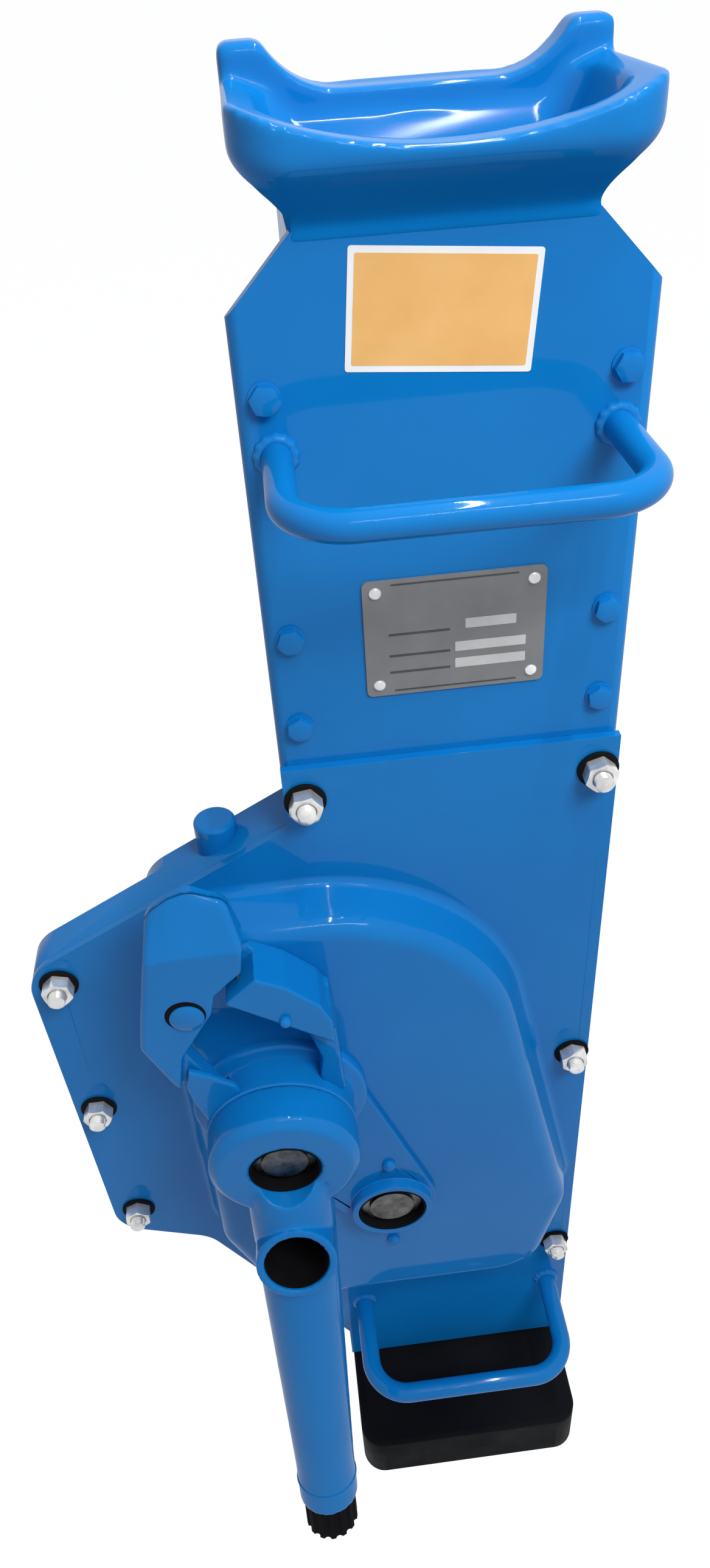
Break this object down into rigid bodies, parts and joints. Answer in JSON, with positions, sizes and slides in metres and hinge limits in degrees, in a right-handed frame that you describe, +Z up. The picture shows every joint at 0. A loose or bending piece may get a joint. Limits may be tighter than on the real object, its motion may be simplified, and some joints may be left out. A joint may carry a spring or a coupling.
{
  "type": "rack and pinion jack",
  "caption": "Blue steel rack and pinion jack: a tall housing with a horned saddle climbs a toothed rack on a black foot, driven by a geared hand crank with a ratchet.",
  "frame": {"origin": "point on the foot's underside straight below the middle of the housing", "axes": "+Z up along the rack, -Y towards the crank side, +X to the right when facing the crank"},
  "size_m": [0.2728, 0.2556, 0.798],
  "materials": {
    "blue_paint": "gloss",
    "black_paint": "satin",
    "zinc": "bright zinc",
    "gear_steel": "oiled",
    "dark_steel": "blackened",
    "bronze": "plain",
    "plate_metal": "satin"
  },
  "bodies": {
    "rack": {"rack_bar": "gear_steel", "foot_plate": "black_paint", "foot_pin": "dark_steel", "rack_stop": "gear_steel", "stop_bolt": "zinc"},
    "housing": {"housing_shell": "blue_paint", "pinion_shield": "blue_paint", "jack_head": "blue_paint", "gear_case": "blue_paint", "front_cover": "blue_paint", "cover_studs": "zinc", "cover_nuts": "zinc", "cover_washers": "dark_steel", "body_bolts": "blue_paint", "upper_handle": "blue_paint", "lower_handle": "blue_paint", "lower_guide": "gear_steel", "upper_guide": "gear_steel", "name_plate": "plate_metal", "plate_rivets": "plate_metal", "bearing_plate": "blue_paint", "bearing_rivets": "blue_paint", "crank_front_bush": "bronze", "crank_rear_bush": "bronze", "idler_front_bush": "bronze", "idler_rear_bush": "bronze", "pinion_front_bush": "bronze", "pinion_rear_bush": "bronze", "pinion_outer_bush": "bronze", "crank_sleeve": "blue_paint", "pawl_bracket": "blue_paint", "guard_rivet": "blue_paint", "pawl_pin": "blue_paint", "pawl_spring": "dark_steel", "case_plug": "blue_paint"},
    "drive": {"pinion_shaft": "dark_steel", "drive_gear": "gear_steel", "pinion_circlip": "dark_steel"},
    "idler": {"idler_shaft": "gear_steel", "first_gear": "gear_steel", "idler_circlip": "dark_steel"},
    "crank": {"crank_arm": "blue_paint", "crank_shaft": "dark_steel", "crank_circlip": "dark_steel", "ratchet_wheel": "dark_steel", "brake_discs": "dark_steel"},
    "grip": {"crank_grip": "black_paint"},
    "pawl": {"pawl": "blue_paint"}
  },
  "joints": [
    {"name": "lift", "type": "slide", "parent": "rack", "child": "housing", "axis": [0, 0, 1], "range_m": [0, 0.4]},
    {"name": "drive_spin", "type": "hinge", "parent": "housing", "child": "drive", "pos_m": [-0.04, 0, 0.269], "axis": [0, 1, 0], "range_deg": [0, 819]},
    {"name": "idler_spin", "type": "hinge", "parent": "housing", "child": "idler", "pos_m": [-0.0289, 0, 0.38246], "axis": [0, 1, 0], "range_deg": [-3070, 0]},
    {"name": "crank_spin", "type": "hinge", "parent": "housing", "child": "crank", "pos_m": [-0.091, 0, 0.36804], "axis": [0, 1, 0], "range_deg": [0, 14325]},
    {"name": "grip_pull", "type": "slide", "parent": "crank", "child": "grip", "axis": [0, -0.3256, -0.9455], "range_m": [0, 0.11]},
    {"name": "pawl_swing", "type": "hinge", "parent": "housing", "child": "pawl", "pos_m": [-0.124, 0, 0.45604], "axis": [0, 1, 0], "range_deg": [0, 6.5], "stiffness_Nm_per_rad": 2, "springref_deg": -5.73, "deforming": ["pawl_spring"]}
  ],
  "couplings": [
    {"joint": "drive_spin", "follows": "lift", "rad_per_m": 35.714},
    {"joint": "idler_spin", "follows": "lift", "rad_per_m": -133.93},
    {"joint": "crank_spin", "follows": "lift", "rad_per_m": 625}
  ]
}
